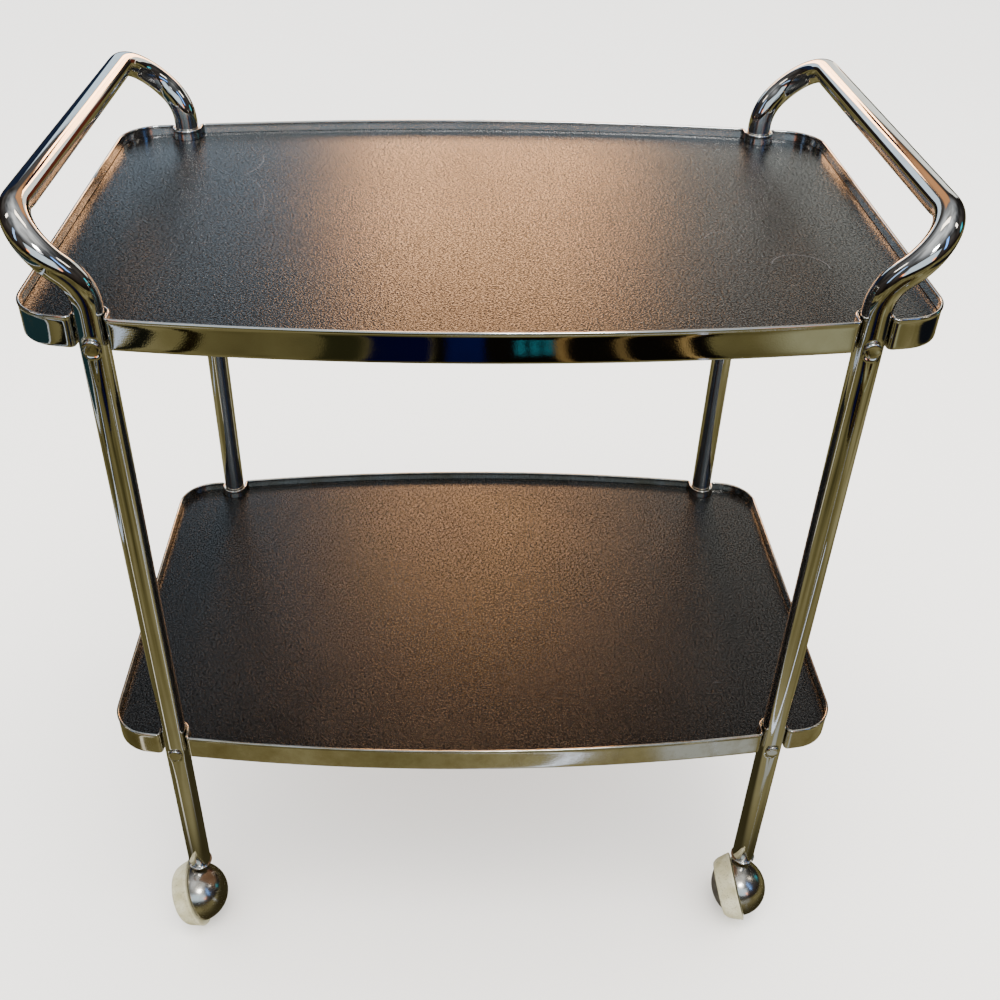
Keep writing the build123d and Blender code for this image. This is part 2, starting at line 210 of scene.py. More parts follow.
def slideMarks(t, at, s):
    # mask of thin, nearly straight scuffs in several directions, then the curved ones
    marks = []
    for turn, scale, low in s["scuffs"]:
        way = node(t, "Mapping", {"Rotation": (0, 0, turn), "Scale": (2.2, scale, 1.0)}, Vector=at)
        veins = node(t, "TexNoise", {"noise_dimensions": "2D", "Scale": 7.0, "Detail": 6.0, "Roughness": 0.7,
                                     "Distortion": 0.3}, Vector=way)
        marks.append(node(t, "ValToRGB", {"stops": [(low, 0.0), (low + 0.06, 1.0)]}, Fac=veins))
    marks += [scratchArc(t, at, *arc) for arc in s["arcs"]]
    lines = marks[0]
    for mark in marks[1:]:
        lines = node(t, "Math", {"operation": "MAXIMUM"}, _0=lines, _1=mark)
    return lines


def leatherGrainLaminate(name, s):
    # black pressed laminate with a leather grain: low pebbles about 2 mm across, longer
    # creases that run across the tray, satin, with pale scuffs where crockery has slid
    m = newMaterial(name)
    t = m.node_tree
    at = node(t, "TexCoord").outputs["Object"]
    height = leatherGrain(t, at, s)
    bump = node(t, "Bump", {"Strength": 1.0, "Distance": s["relief"] * mm}, Height=height)
    # black worn to dark grey in clouds, pebble tops paler partly from wear and partly as a painted highlight,
    # scuffs, specks of dust
    cloud = node(t, "TexNoise", {"noise_dimensions": "2D", "Scale": 1 / (200.0 * mm), "Detail": 4.0},
                 Vector=at)
    worn = node(t, "MapRange", {"From Min": 0.35, "From Max": 0.7, "To Max": 0.8}, Value=cloud)
    base = node(t, "MixRGB", {"Color1": linear(s["colour"]), "Color2": linear(s["worn"])}, Fac=worn)
    # painted highlight: pebble tops paler, partly wear and partly standing in for glints of light
    onTopWearAndHighlight = node(t, "MapRange", {"From Min": 0.5, "From Max": 0.95}, Value=height)
    tops = node(t, "MixRGB", {"Color2": linear(s["tops"])}, Fac=onTopWearAndHighlight, Color1=base)
    onLines = node(t, "MapRange", {"To Max": s["scuffShow"]}, Value=slideMarks(t, at, s))
    scuffed = node(t, "MixRGB", {"Color2": linear(s["scuff"])}, Fac=onLines, Color1=tops)
    dots = node(t, "TexVoronoi", {"voronoi_dimensions": "2D", "Scale": 1 / (s["dots"] * mm)}, Vector=at)
    dotMask = node(t, "ValToRGB", {"stops": [(0.06, 1.0), (0.1, 0.0)]}, Fac=dots)
    onDots = node(t, "MapRange", {"To Max": s["dustShow"]}, Value=dotMask)
    dusty = node(t, "MixRGB", {"Color2": linear(s["dust"])}, Fac=onDots, Color1=scuffed)
    # pebble tops are polished by use, the hollows stay matt
    low, high = s["rough"]
    smooth = node(t, "MapRange", {"From Min": 0.3, "From Max": 0.7, "To Min": low, "To Max": high},
                  Value=cloud)
    hollows = node(t, "MapRange", {"From Min": 0.45, "From Max": 0.05, "To Max": 0.2}, Value=height)
    rough = node(t, "MixRGB", {"blend_type": "ADD", "Fac": 1.0}, Color1=smooth, Color2=hollows)
    low, high = s["shine"]
    shine = node(t, "MapRange", {"From Min": 0.3, "From Max": 0.75, "To Min": low, "To Max": high},
                 Value=height)
    shader = node(t, "BsdfPrincipled", {"IOR": 1.5}, Base__Color=dusty, Roughness=rough, Normal=bump,
                  Specular__IOR__Level=shine)
    return finishMaterial(m, shader)


# pebble, fold, relief and the dots' spacing in mm
# arcs: centre and radius in m, from and to in degrees, width in m
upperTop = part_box("upper_tray_laminate")[1].z
laminate = leatherGrainLaminate("leatherGrainLaminate", {
    "colour": "#060606", "worn": "#0b0b0b", "tops": "#151514", "scuff": "#86868a", "dust": "#a09f9c",
    "pebble": 1.6, "crumbs": 0.4, "fold": 0.9, "relief": 0.14, "rough": (0.16, 0.22), "shine": (0.1, 0.95),
    "scuffShow": 0.25, "dustShow": 0.05, "dots": 5.263,
    "scuffs": [(0.15, 60.0, 0.72), (1.9, 80.0, 0.74), (2.7, 70.0, 0.735)],
    "arcs": [
        ((-0.259, 0.129, upperTop), 0.058, -40, 14, 0.0007),
        ((-0.300, 0.021, upperTop), 0.113, -13, 35, 0.0004),
        ((-0.209, 0.231, upperTop), 0.158, -116, -98, 0.0006),
        ((0.255, -0.094, upperTop), 0.023, -6, 165, 0.0006),
        ((0.204, -0.044, upperTop), 0.017, 62, 169, 0.0005),
        ((-0.218, -0.074, upperTop), 0.021, 98, 118, 0.0009),
    ],
})


def plainStock(name, s):
    # a stock part's finish: one colour that drifts, with fine texture in gloss and surface
    m = newMaterial(name)
    t = m.node_tree
    at = node(t, "TexCoord").outputs["Object"]
    way = node(t, "Mapping", {"Scale": s.get("stretch", (1, 1, 1))}, Vector=at)
    drift = node(t, "TexNoise", {"Scale": 1 / (s["drift"] * mm), "Detail": 4.0}, Vector=at)
    grit = node(t, "TexNoise", {"Scale": 1 / (s["grit"] * mm), "Detail": 4.0, "Roughness": 0.65}, Vector=way)
    drifted = node(t, "MapRange", {"From Min": 0.35, "From Max": 0.7}, Value=drift)
    colour = node(t, "MixRGB", {"Color1": linear(s["colour"]), "Color2": linear(s["second"])}, Fac=drifted)
    dirty = node(t, "MapRange", {"From Min": 0.55, "From Max": 0.75, "To Max": s["dirtShow"]}, Value=grit)
    dirt = node(t, "MixRGB", {"Color2": linear(s["dirt"])}, Fac=dirty, Color1=colour)
    low, high = s["rough"]
    rough = node(t, "MapRange", {"From Min": 0.3, "From Max": 0.7, "To Min": low, "To Max": high},
                 Value=drift)
    bump = node(t, "Bump", {"Strength": s["bump"], "Distance": 0.3 * mm}, Height=grit)
    shader = node(t, "BsdfPrincipled", {"Metallic": s["metal"]},
                  Base__Color=dirt, Roughness=rough, Normal=bump)
    return finishMaterial(m, shader)


# drift and grit are sizes in mm
# cast rubber with titanium white gone cream, grubby where it has rolled
creamRubber = plainStock("creamRubber", {
    "colour": "#aaa68d", "second": "#87825f", "dirt": "#433c2b", "dirtShow": 1.0, "drift": 16.67,
    "grit": 1.7, "rough": (0.5, 0.65), "bump": 0.35, "metal": 0.0,
})
# zinc plate, yellow passivated: thin brassy film over steel, darker in fine specks
yellowZinc = plainStock("yellowPassivatedZinc", {
    "colour": "#c9a24a", "second": "#b0832f", "dirt": "#5d4420", "dirtShow": 0.5, "drift": 5.556,
    "grit": 0.5, "rough": (0.18, 0.34), "bump": 0.1, "metal": 1.0,
})
# clear passivated zinc on mild steel: grey, slightly mottled
zincSteel = plainStock("clearPassivatedZinc", {
    "colour": "#a9aaaa", "second": "#8f9090", "dirt": "#5e5b55", "dirtShow": 0.5, "drift": 11.11,
    "grit": 0.8, "rough": (0.3, 0.45), "bump": 0.15, "metal": 1.0,
})
# tempered hardboard: brown, fibrous, matt
hardboard = plainStock("temperedHardboard", {
    "colour": "#6d4f33", "second": "#5a3f28", "dirt": "#3a2a1c", "dirtShow": 0.6, "drift": 71.43,
    "grit": 0.7, "stretch": (1, 1.7, 1), "rough": (0.6, 0.75), "bump": 0.3, "metal": 0.0,
})
# grey moulded nylon: waxy, low gloss
greyNylon = plainStock("mouldedNylon", {
    "colour": "#57544e", "second": "#4a4742", "dirt": "#2b2926", "dirtShow": 0.4, "drift": 14.29,
    "grit": 0.6, "rough": (0.45, 0.55), "bump": 0.1, "metal": 0.0,
})
# pressed steel disc gone dull: grey-brown, with a dusty bloom that takes off some of the shine
dullSteel = plainStock("tarnishedSteel", {
    "colour": "#8a857c", "second": "#6a655c", "dirt": "#3a2f22", "dirtShow": 0.6, "drift": 12.5,
    "grit": 0.7, "rough": (0.38, 0.52), "bump": 0.15, "metal": 0.8,
})
print("materials made")


def newMesh(name, points, faces, material):
    data = bpy.data.meshes.new(name)
    data.from_pydata([tuple(p) for p in points], [], faces)
    data.materials.append(material)
    o = bpy.data.objects.new(name, data)
    scene.collection.objects.link(o)
    for p in data.polygons:
        p.use_smooth = True
    return o


def addStack(o, *mods):
    for kind, settings in mods:
        m = o.modifiers.new(kind.lower(), kind)
        for key, value in settings.items():
            setattr(m, key, value)


rounded = ("SUBSURF", {"levels": 1, "render_levels": 1})


def applyStack(o, place):
    bpy.context.view_layer.update()
    mesh = bpy.data.meshes.new_from_object(o.evaluated_get(bpy.context.evaluated_depsgraph_get()))
    old = o.data
    o.modifiers.clear()
    o.data = mesh
    bpy.data.meshes.remove(old)
    mesh.transform(place)
    for p in mesh.polygons:
        p.use_smooth = True
    return o


def loft(rings, closedAlong):
    # quads between rings of equal length, each ring closed
    n, count = len(rings[0]), len(rings)
    points = [p for ring in rings for p in ring]
    faces = []
    for i in range(count if closedAlong else count - 1):
        j = (i + 1) % count
        for k in range(n):
            m = (k + 1) % n
            faces.append((i * n + k, i * n + m, j * n + m, j * n + k))
    return points, faces


def outward(o):
    b = bmesh.new()
    b.from_mesh(o.data)
    bmesh.ops.recalc_face_normals(b, faces=b.faces)
    b.to_mesh(o.data)
    b.free()
    return o


def joined(name, objects):
    b = bmesh.new()
    for o in objects:
        b.from_mesh(o.data)
    data = bpy.data.meshes.new(name)
    b.to_mesh(data)
    b.free()
    data.materials.append(objects[0].data.materials[0])
    for o in objects:
        bpy.data.objects.remove(o)
    o = bpy.data.objects.new(name, data)
    scene.collection.objects.link(o)
    for p in data.polygons:
        p.use_smooth = True
    return o


def turnedPiece(name, profile, material, place, steps):
    # profile: (radius, height) from top to bottom; poles at radius 0 are merged
    data = bpy.data.meshes.new(name)
    points = [(r * mm, 0, z * mm) for r, z in profile]
    data.from_pydata(points, [(i, i + 1) for i in range(len(points) - 1)], [])
    data.materials.append(material)
    o = bpy.data.objects.new(name, data)
    scene.collection.objects.link(o)
    turning = {"steps": steps, "render_steps": steps, "use_smooth_shade": True,
               "use_merge_vertices": True, "merge_threshold": 0.02 * mm}
    addStack(o, ("SCREW", turning), rounded)
    return applyStack(o, place)


def dress(o, body, stoodFor):
    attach(o, body)
    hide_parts(stoodFor)


def paint(name, material):
    # a hidden piece keeps its CAD mesh and gets a finish
    data = frame["nodes"][name].data
    data.materials.clear()
    data.materials.append(material)


# the middle of each leg, and each tier's bolts, from the trolley's middle and the floor
legX, legY = 283.0, 193.0
boltHeight = {}
for tier in ("lower", "upper"):
    low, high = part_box(tier + "_tray_bolts")
    boltHeight[tier] = (low.z + high.z) / 2 / mm

endTube = {
    "foot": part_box("left_end_tube")[0].z / mm, "radius": 11.0, "wall": 1.5, "bend": 40.0,
    "gripX": 329.3, "gripOut": 12.0, "bendUp": 46.4, "gripUp": 92.2,
    "sides": 40, "arcStep": 6.0, "gripRings": (40, 80, 120, 134, 138, 141, 144, 147, 150),
    "seatRadius": 7.4, "seatDrop": 2.2, "seatSoft": 1.3,
    "creaseLength": 30.0, "creaseDepth": 1.5, "creaseWidth": 5.2,
    "dentReach": 9.0, "dentDepth": 2.0,
}


def tubeCorners(side, s):
    # foot, top of the leg and end of the grip at the front, then the same at the back
    bendZ, gripZ = boltHeight["upper"] + s["bendUp"], boltHeight["upper"] + s["gripUp"]
    front = [(side * legX, -legY, s["foot"]), (side * legX, -legY, bendZ),
             (side * s["gripX"], -legY - s["gripOut"], gripZ)]
    return [Vector(p) for p in front] + [Vector((x, -y, z)) for x, y, z in reversed(front)]


def bentPath(points, radius, arcStep):
    # centre line as (point, direction) pairs, arcs sampled by angle
    out = [(points[0], (points[1] - points[0]).normalized())]
    for a, b, c in zip(points, points[1:], points[2:]):
        back, on = (a - b).normalized(), (c - b).normalized()
        half = back.angle(on) / 2
        run = radius / math.tan(half)
        start = b + back * run
        middle = b + (back + on).normalized() * (radius / math.sin(half))
        turn = math.pi - 2 * half
        count = max(4, round(math.degrees(turn) / arcStep))
        axis = (-back).cross(on).normalized()
        for k in range(count + 1):
            spin = Matrix.Rotation(turn * k / count, 3, axis)
            out.append((middle + spin @ (start - middle), spin @ -back))
    out.append((points[-1], (points[-1] - points[-2]).normalized()))
    return out


def tubeLine(corners, s):
    # the bent path with more rings at the feet, the bolt seats and the grip's ends
    line = bentPath(corners, s["bend"], s["arcStep"])
    foot, grip = corners[0], corners[2]
    heights = [s["foot"] + h for h in (0.6, 3, 40)] + [boltHeight["lower"] + h for h in (120, 250)]
    for z in boltHeight.values():
        heights += [z - 60, z - 42] + [z - 36 + 1.5 * k for k in range(34)] + [z + 17]
    legTop = line[1][0].z
    heights = sorted(h for h in set(heights) if foot.z < h < legTop - 1)
    up = [(Vector((foot.x, -legY, h)), Vector((0, 0, 1))) for h in heights]
    down = [(Vector((foot.x, legY, h)), Vector((0, 0, -1))) for h in reversed(heights)]
    runs = [-y for y in reversed(s["gripRings"])] + [0, *s["gripRings"]]
    along = [(Vector((grip.x, y, grip.z)), Vector((0, 1, 0))) for y in runs]
    half = len(line) // 2
    return line[:1] + up + line[1:half] + along + line[half:-1] + down + line[-1:]


def sweep(line, radius, sides):
    # rings square to the line, each turned as little as possible from the one before
    across, last = Vector((1, 0, 0)), line[0][1]
    rings = []
    for centre, ahead in line:
        across = last.rotation_difference(ahead) @ across
        across = (across - ahead * across.dot(ahead)).normalized()
        last = ahead
        over = ahead.cross(across)
        rings.append([centre + (across * math.cos(a) + over * math.sin(a)) * radius
                      for a in (2 * math.pi * k / sides for k in range(sides))])
    return rings


def openEnd(ring, centre, s):
    # rings from the rounded lip into the bore and up inside
    bore = s["radius"] - s["wall"]
    steps = ((s["radius"] - 0.4, 0), (bore + 0.4, 0), (bore, 0.5), (bore, 30))
    return [[centre + (p - centre).normalized() * r + Vector((0, 0, up)) for p in ring] for r, up in steps]


def pressSeat(p, s, x, z, front):
    # push a leg's outer face in under a bolt head and along the crease below it
    u, w = p.x - x, p.z - z
    out = front * p.y - legY
    if out < 2 or not -s["creaseLength"] - 12 < w < 14:
        return p
    flat = s["radius"] - s["seatDrop"]
    r = math.hypot(u, w)
    edge = min(1.0, max(0.0, (s["seatRadius"] + s["seatSoft"] - r) / (2 * s["seatSoft"])))
    edge = edge * edge * (3 - 2 * edge)
    if out > flat:
        out += (flat - out) * edge
    down = (-w - s["seatRadius"] * 0.6) / s["creaseLength"]
    if 0 < down < 1:
        width = s["creaseWidth"] * (1 - down) + 0.8
        depth = max(0.0, 1 - abs(u) / width)
        out -= s["creaseDepth"] * (1 - down) * depth * depth * (1 - edge)
    return Vector((p.x, front * (out + legY), p.z))


def pinch(p, s, spot, inward):
    # the small dent a bender leaves on the inside where a bend starts
    near = 1 - (p - spot - inward * s["radius"]).length / s["dentReach"]
    return p - inward * s["dentDepth"] * near * near if near > 0 else p


def makeEndTube(side, s):
    corners = tubeCorners(side, s)
    line = tubeLine(corners, s)
    rings = sweep(line, s["radius"], s["sides"])
    rings = openEnd(rings[0], line[0][0], s)[::-1] + rings[1:-1] + openEnd(rings[-1], line[-1][0], s)
    for z in boltHeight.values():
        rings = [[pressSeat(p, s, corners[0].x, z, -1 if p.y < 0 else 1) for p in ring] for ring in rings]
    bend, grip = corners[1], corners[2]
    fall = Vector((bend.x - grip.x, 0, bend.z - grip.z)).normalized()
    half = (bend - grip).angle(corners[3] - grip) / 2
    for front in (-1, 1):
        spot = Vector((grip.x, front * (-grip.y - s["bend"] / math.tan(half)), grip.z))
        rings = [[pinch(p, s, spot, fall) for p in ring] for ring in rings]
    points, faces = loft([[p * mm for p in ring] for ring in rings], False)
    hand = "left" if side < 0 else "right"
    o = outward(newMesh(hand + "EndTube", points, faces, chrome))
    addStack(o, rounded)
    dress(o, "frame", hand + "_end_tube")


for side in (-1, 1):
    makeEndTube(side, endTube)
print("end tubes made")


tray = {
    "halfLength": 342.3, "halfWidth": 220.5, "sideAtLeg": 201.0, "corner": 38.0, "pocket": 12.3, "mouth": 4.0,
    "aboveBolt": 23.8, "height": 25.8, "wall": 1.2, "lip": 5.0,
    "panelDrop": 9.6, "panelThick": 0.8, "panelIn": 2.3, "panelEdge": 0.25,
    "upperPlate": chrome, "lowerPlate": cloudedChrome,
}


def arc(x, y, radius, start, end, n):
    angles = [start + (end - start) * k / n for k in range(n + 1)]
    return [(x + radius * math.cos(a), y + radius * math.sin(a)) for a in angles]


def quarterLine(s):
    # outer line of one quarter, from the middle of the long side to the middle of the end
    rise = s["halfWidth"] - s["sideAtLeg"]
    big = (legX ** 2 + rise ** 2) / (2 * rise)
    centreY = s["halfWidth"] - big
    p, f, c = s["pocket"], s["mouth"], s["corner"]
    # mouth fillets sit between the bowed side and the pocket's straight walls
    nearX, farX = legX - p - f, legX + p + f
    nearY = centreY + math.sqrt((big - f) ** 2 - nearX ** 2)
    farY = centreY + math.sqrt((big - f) ** 2 - farX ** 2)
    bowX = [*range(0, int(nearX) - 12, 24), nearX - 6]
    line = [(x, centreY + math.sqrt(big * big - x * x)) for x in bowX]
    line += arc(nearX, nearY, f, math.atan2(nearY - centreY, nearX), 0, 6)
    line.append((legX - p, (nearY + legY) / 2))
    line += arc(legX, legY, p, math.pi, 2 * math.pi, 20)
    line.append((legX + p, (farY + legY) / 2))
    line += arc(farX, farY, f, math.pi, math.atan2(farY - centreY, farX), 6)
    # corner between the bowed side and the straight end
    cornerX = s["halfLength"] - c
    cornerY = centreY + math.sqrt((big - c) ** 2 - cornerX ** 2)
    line += arc(cornerX, cornerY, c, math.atan2(cornerY - centreY, cornerX), 0, 18)
    return line + [(s["halfLength"], y) for y in (cornerY - 25, cornerY - 70, cornerY - 115, 0)]


def wholeLine(s):
    q = quarterLine(s)
    line = q[:-1] + [(x, -y) for x, y in reversed(q)][:-1]
    line += [(-x, -y) for x, y in q][:-1] + [(-x, y) for x, y in reversed(q)][:-1]
    return [Vector((x, y, 0)) for x, y in line]


def sideways(line):
    # unit vector out of the tray at each point of the closed line
    out = []
    for before, here, after in zip(line[-1:] + line, line, line[1:] + line[:1]):
        along = (after - here).normalized() + (here - before).normalized()
        along.normalize()
        out.append(Vector((-along.y, along.x, 0)))
    return out


trayLine = wholeLine(tray)
trayOut = sideways(trayLine)
print("tray line has", len(trayLine), "points")


def rimSection(s, low, top, lip):
    # (out, height) round the band: outer face, rolled top edge, inner face, then the lip under the board
    w = s["wall"]
    outer = [(0, low + 1.2), (0, low + 8), (0, top - 10), (0, top - 3.4)]
    roll = [(0.12, top - 2.75), (0.53, top - 2.2), (0.6, top - 1.3), (0.48, top - 0.5), (-0.15, top - 0.02),
            (-1.1, top - 0.02), (-1.75, top - 0.5), (-1.9, top - 1.3), (-1.75, top - 2.1), (-1.35, top - 2.6)]
    inner = [(-1.3, top - 3.6), (-2.05, top - 9.4), (-2.05, top - 10.2), (-w, top - 12), (-w, low + 2.6)]
    under = [(-w - 0.15, low + 1.4), (-w - 0.4, low + w), (-w - lip + 0.2, low + w), (-w - lip, low + w / 2),
             (-w - lip + 0.2, low), (-1.2, low), (-0.45, low + 0.12), (-0.1, low + 0.5)]
    return outer + roll + inner + under


def trayRim(tier, s):
    top = boltHeight[tier] + s["aboveBolt"]
    rings = []
    for p, out in zip(trayLine, trayOut):
        # the lip shrinks to nothing round each leg's pocket
        near = math.hypot(abs(p.x) - legX, abs(p.y) - legY)
        share = min(1.0, max(0.0, (near - 24) / 8))
        section = rimSection(s, top - s["height"], top, 0.25 + (s["lip"] - 0.25) * share)
        rings.append([(p + out * n + Vector((0, 0, z))) * mm for n, z in section])
    points, faces = loft(rings, True)
    o = outward(newMesh(tier + "TrayRim", points, faces, s[tier + "Plate"]))
    addStack(o, rounded)
    dress(o, "frame", tier + "_tray_rim")


def trayPanel(tier, s):
    top = Vector((0, 0, boltHeight[tier] + s["aboveBolt"] - s["panelDrop"]))
    points = [(p - out * s["panelIn"] + top) * mm for p, out in zip(trayLine, trayOut)]
    o = newMesh(tier + "TrayPanel", points, [tuple(range(len(points)))[::-1]], laminate)
    for p in o.data.polygons:
        p.use_smooth = False
        if p.normal.z < 0:
            p.flip()
    addStack(o, ("SOLIDIFY", {"thickness": s["panelThick"] * mm, "offset": -1.0}),
             ("BEVEL", {"width": s["panelEdge"] * mm, "segments": 2, "limit_method": "ANGLE"}))
    dress(o, "frame", tier + "_tray_laminate")


for tier in ("lower", "upper"):
    trayRim(tier, tray)
    trayPanel(tier, tray)
print("trays made")


boltHead = {"radius": 6.7, "rise": 3.2, "seat": 201.8, "shank": 3.0, "reach": 26.0}


def trayBolts(tier, s):
    r, h, shank, reach = s["radius"], s["rise"], s["shank"], s["reach"]
    profile = [(0, h), (r * 0.4, h * 0.99), (r * 0.75, h * 0.95), (r * 0.9, h * 0.86), (r * 0.98, h * 0.66),
               (r, h * 0.4), (r, 0.15), (r - 0.2, 0.0), (shank + 0.2, 0.0), (shank, -0.2), (shank, -6),
               (shank, -reach), (shank - 0.4, -reach - 0.4), (0, -reach - 0.4)]
    made = []
    for side in (-1, 1):
        for front in (-1, 1):
            place = Matrix.Translation(Vector((side * legX, front * s["seat"], boltHeight[tier])) * mm)
            turn = Matrix.Rotation(math.radians(-90 * front), 4, "X")
            made.append(turnedPiece(tier + "Bolt", profile, cloudedChrome, place @ turn, 32))
    dress(joined(tier + "TrayBolts", made), "frame", tier + "_tray_bolts")


for tier in ("lower", "upper"):
    trayBolts(tier, boltHead)
print("bolts made")


caster = {
    "hood": 29.6, "hoodWall": 1.4, "hoodMouth": -0.8,
    "tread": 34.4, "treadStart": 0.8, "treadFlat": 12.0, "outer": 27.2, "outerAt": 17.9, "face": 19.0,
    "faceRadius": 25.2, "bore": 23.6,
    "cap": 22.6, "capBase": 17.6, "capRise": 8.4,
    "flange": 12.2, "flangeThick": 2.6, "shoulder": 5.2,
}


def hoodLine(s):
    # half a ball with a turned edge: up inside from the pole, over the mouth, down outside
    r, mouth = s["hood"], s["hoodMouth"]
    within = r - s["hoodWall"]
    angles = [math.radians(v) for v in range(6, 90, 6)]
    inside = [(within * math.cos(a), -within * math.sin(a)) for a in reversed(angles)]
    outside = [(r * math.cos(a), -r * math.sin(a)) for a in angles]
    edge = [(within + 0.05, mouth - 0.5), (within + 0.3, mouth), (r - 0.25, mouth), (r, mouth - 0.4)]
    return [(0, -within)] + inside + edge + outside + [(0, -r)]


def tyreLine(s, dip):
    # tapered tread with a thin moulding groove, soft shoulders
    fall = math.tan(dip)
    a, b, length = s["tread"], s["treadStart"], s["treadFlat"]
    flatRadius, flatEnd = a - fall * length, b + length
    groove = a - fall * 2.6
    line = [
        (s["bore"], s["face"]), (s["faceRadius"] - 0.5, s["face"]), (s["faceRadius"] + 0.6, s["face"] - 0.15),
        (s["outer"] - 0.2, s["outerAt"] + 0.1),
        ((flatRadius + s["outer"]) / 2 + 0.5, (flatEnd + s["outerAt"]) / 2 + 0.2),
        (flatRadius, flatEnd), (a - fall * length / 2, b + length / 2),
        (groove - 0.14, b + 3.1), (groove - 0.5, b + 2.75), (groove - 0.5, b + 2.45),
        (groove - 0.02, b + 2.1), (a - fall * 1.2 - 0.03, b + 1.2),
        (a - 0.25, b + 0.15), (a - 0.8, 0.12), (a - 1.5, 0.0),
        (s["hood"] + 1.4, 0.0), (s["hood"] + 0.6, 0.25), (s["hood"] - 2, 0.3), (s["bore"], 0.3),
    ]
    return line + line[:1]


def capLine(s):
    # shallow dome with a rolled rim
    c, base, rise = s["cap"], s["capBase"], s["capRise"]
    big = (c * c + rise * rise) / (2 * rise)
    across = [(c - 2.2) * k / 10 for k in range(11)]
    dome = [(x, base + rise - big + math.sqrt(big * big - x * x)) for x in across]
    return dome + [(c - 1.6, base + 1.25), (c - 1.1, base + 1.55), (c - 0.4, base + 1.3), (c, base + 0.7),
                   (c - 0.1, base + 0.1), (c - 0.7, base), (c - 2, base + 0.1), (0, base + 0.1)]


def stemLine(s, top, foot, ground):
    # pin in the socket, then the brassy shoulder below the flange's foot, down into the hood
    t = s["shoulder"]
    return [(0, top), (3.4, top), (4.0, top - 0.6), (4.0, foot + 4), (4.0, foot - 0.3), (t - 0.4, foot - 0.3),
            (t, foot - 0.7), (t, foot - 2.2), (t - 0.9, foot - 2.9), (t - 0.9, foot - 3.6), (t, foot - 4.3),
            (t, ground + 16), (t - 0.4, ground + 14), (4, ground + 14), (4, ground + 9), (0, ground + 9)]


def socketLine(s, top, foot):
    # sleeve inside the tube, with the bright flange that closes the tube's end
    f = s["flange"]
    tube = foot + s["flangeThick"]
    line = [(4.05, top), (9.0, top), (9.4, top - 0.5), (9.4, tube + 1), (9.5, tube), (f - 0.5, tube),
            (f - 0.05, tube - 0.4), (f, tube - 1.1), (f - 0.15, foot + 0.9), (f - 0.7, foot + 0.25),
            (f - 1.6, foot), (6, foot), (4.3, foot), (4.05, foot + 0.25)]
    return line + line[:1]


def makeCaster(spot, s):
    swivel, roll = joints[spot + "_swivel"], joints[spot + "_roll"]
    centre = Vector(roll["pos_m"])
    axle = Vector(roll["axis"]).normalized()
    lay = Matrix.Translation(centre) @ Vector((0, 0, 1)).rotation_difference(axle).to_matrix().to_4x4()
    upright = Matrix.Translation((swivel["pos_m"][0], swivel["pos_m"][1], 0))
    foot, top = (corner.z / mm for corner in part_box(spot + "_socket"))
    pin = stemLine(s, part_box(spot + "_stem")[1].z / mm, foot, centre.z / mm)
    pieces = (
        ("hood", hoodLine(s), scuffedChrome, lay, 64, spot + "_caster", "chrome_plate"),
        ("tyre", tyreLine(s, math.asin(-axle.z)), creamRubber, lay, 72, spot + "_wheel", "cream_tyre"),
        ("hub_cap", capLine(s), dullSteel, lay, 48, spot + "_wheel", "cap_steel"),
        ("stem", pin, yellowZinc, upright, 32, spot + "_caster", "brass"),
        ("socket", socketLine(s, top, foot), chrome, upright, 48, "frame", "chrome_plate"),
    )
    front, side = spot.split("_")
    for piece, line, material, place, steps, body, slotName in pieces:
        name = front + side.capitalize() + piece.title().replace("_", "")
        dress(turnedPiece(name, line, material, place, steps), body, spot + "_" + piece)
    for piece, material in (("hub", greyNylon), ("axle", zincSteel), ("grip_ring", zincSteel)):
        paint(spot + "_" + piece, material)


for spot in ("front_left", "front_right", "back_left", "back_right"):
    makeCaster(spot, caster)
print("casters made")

for tier in ("lower", "upper"):
    paint(tier + "_tray_board", hardboard)
    for name in ("_left_rail", "_right_rail", "_weld_nuts", "_rail_screws"):
        paint(tier + name, zincSteel)
print("undersides painted")


def studioFloor():
    m = newMaterial("paleStudioFloor")
    t = m.node_tree
    at = node(t, "TexCoord").outputs["Object"]
    drift = node(t, "TexNoise", {"Scale": 0.8, "Detail": 2.0}, Vector=at)
    tone = node(t, "MixRGB", {"Color1": linear("#f7f6f4"), "Color2": linear("#f2f1ee")}, Fac=drift)
    finishMaterial(m, node(t, "BsdfPrincipled", {"Roughness": 0.8}, Base__Color=tone))
    r = 20
    o = newMesh("studioFloor", [(-r, -r, 0), (r, -r, 0), (r, r, 0), (-r, r, 0)], [(0, 1, 2, 3)], m)
    o.visible_glossy = False


def onlyReflected(o):
    # a piece of the room that the chrome and the panels pick up and nothing else sees
    o.visible_camera = False
    o.visible_diffuse = False
    o.visible_shadow = False


def glow(name, colour, strength, soft):
    # emission that fades out over the outer share of a unit square
    m = newMaterial(name)
    t = m.node_tree
    parts = node(t, "SeparateXYZ", None, Vector=node(t, "TexCoord").outputs["Object"])
    fade = {"interpolation_type": "SMOOTHSTEP", "From Min": 1.0, "From Max": 1 - soft}
    fades = []
    for axis in ("X", "Y"):
        size = node(t, "Math", {"operation": "ABSOLUTE"}, _0=parts.outputs[axis])
        fades.append(node(t, "MapRange", fade, Value=size))
    both = node(t, "Math", {"operation": "MULTIPLY"}, _0=fades[0], _1=fades[1])
    light = node(t, "Emission", {"Color": linear(colour), "Strength": strength})
    clear = node(t, "BsdfTransparent")
    return finishMaterial(m, node(t, "MixShader", None, Fac=both, _1=clear, _2=light))


def square(name, place, right, up, wide, high, material):
    data = bpy.data.meshes.new(name)
    data.from_pydata([(-1, -1, 0), (1, -1, 0), (1, 1, 0), (-1, 1, 0)], [], [(0, 1, 2, 3)])
    data.materials.append(material)
    o = bpy.data.objects.new(name, data)
    turn = Matrix((right * wide, up * high, right.cross(up))).transposed().to_4x4()
    o.matrix_world = Matrix.Translation(place) @ turn
    scene.collection.objects.link(o)
    onlyReflected(o)


